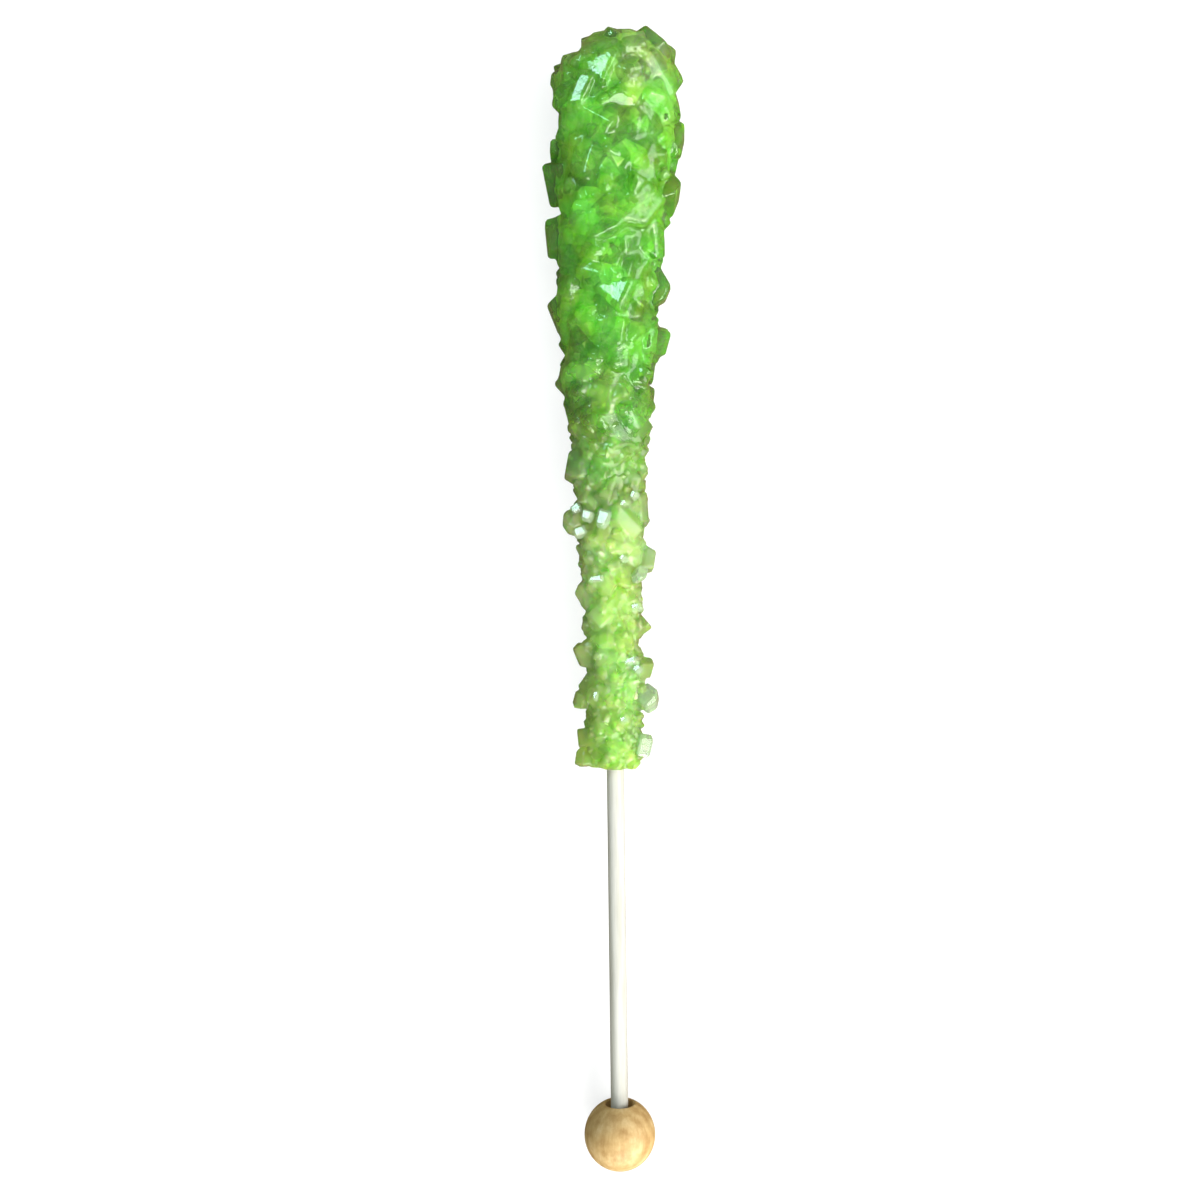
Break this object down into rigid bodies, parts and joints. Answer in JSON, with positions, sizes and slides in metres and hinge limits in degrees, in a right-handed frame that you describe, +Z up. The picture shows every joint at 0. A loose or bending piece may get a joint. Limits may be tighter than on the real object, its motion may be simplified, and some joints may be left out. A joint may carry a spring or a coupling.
{
  "type": "rock candy stick",
  "caption": "Stick of green rock candy: sugar crystals grown round a thin birch dowel that ends in a turned wooden ball, lying on its side.",
  "frame": {"origin": "middle of the bounding box, on the surface that the stick lies on", "axes": "+Y along the stick from the ball to the candy's tip, +Z up, +X to the right of the shown side"},
  "size_m": [0.0224, 0.1768, 0.0203],
  "materials": {
    "candy": "clear to cloudy green sugar crystals with glossy facets",
    "dowel": "pale bare birch",
    "ball": "satin turned wood with visible grain"
  },
  "bodies": {
    "root": {"candy": "candy", "dowel": "dowel", "ball": "ball"}
  },
  "joints": []
}
